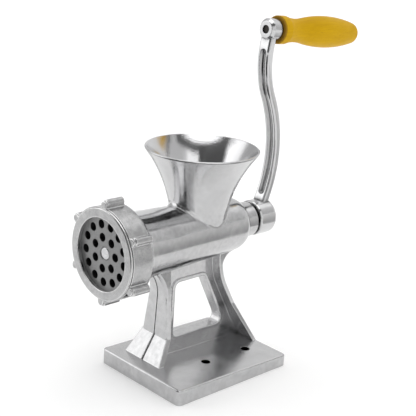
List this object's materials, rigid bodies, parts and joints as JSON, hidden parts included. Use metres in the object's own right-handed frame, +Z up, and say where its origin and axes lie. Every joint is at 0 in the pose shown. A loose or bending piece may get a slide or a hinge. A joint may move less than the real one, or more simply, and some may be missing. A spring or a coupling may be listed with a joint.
{
  "type": "hand crank meat grinder",
  "caption": "Bench-mounted hand crank meat grinder: flared feed hopper over a screw barrel, holed plate under a lugged ring nut, and a long crank with a turning grip.",
  "frame": {"origin": "on the underside of the base, below the axis of the barrel and half-way along the base", "axes": "+Z up; +Y from the holed plate at the outlet to the crank; +X to the wide side of the base that holds the bolt holes"},
  "size_m": [0.0925, 0.2388, 0.2474],
  "materials": {
    "cast_aluminium": "satin casting, polished in the hopper",
    "crank_aluminium": "polished casting",
    "plate_steel": "ground, matte",
    "bright_steel": "turned",
    "dark_steel": "dulled",
    "bush_iron": "turned, oiled",
    "grip_wood": "yellow varnish"
  },
  "bodies": {
    "frame": {"body_casting": "cast_aluminium", "rear_bush": "bush_iron", "thrust_washer": "bright_steel", "plate_key": "bright_steel"},
    "crank": {"auger": "cast_aluminium", "knife_stud": "bright_steel", "knife": "bright_steel", "crank_arm": "crank_aluminium", "crank_screw": "bright_steel", "crank_spring_washer": "bright_steel", "grip_bolt": "dark_steel", "grip_washer": "dark_steel"},
    "grip": {"grip": "grip_wood"},
    "plate": {"grinding_plate": "plate_steel"},
    "ring": {"ring_nut": "cast_aluminium"}
  },
  "joints": [
    {"name": "crank_turn", "type": "hinge", "parent": "frame", "child": "crank", "pos_m": [0, 0, 0.0982], "axis": [0, 1, 0], "continuous": true},
    {"name": "grip_spin", "type": "hinge", "parent": "crank", "child": "grip", "pos_m": [0, 0.059, 0.2383], "axis": [0, 0.9968, -0.0802], "continuous": true},
    {"name": "plate_slide", "type": "slide", "parent": "frame", "child": "plate", "axis": [0, -1, 0], "range_m": [0, 0.0126]},
    {"name": "ring_unscrew", "type": "hinge", "parent": "plate", "child": "ring", "pos_m": [0, 0, 0.0982], "axis": [0, -1, 0], "range_deg": [0, 1800]}
  ],
  "couplings": [
    {"joint": "plate_slide", "follows": "ring_unscrew", "m_per_rad": 0.00039789}
  ]
}
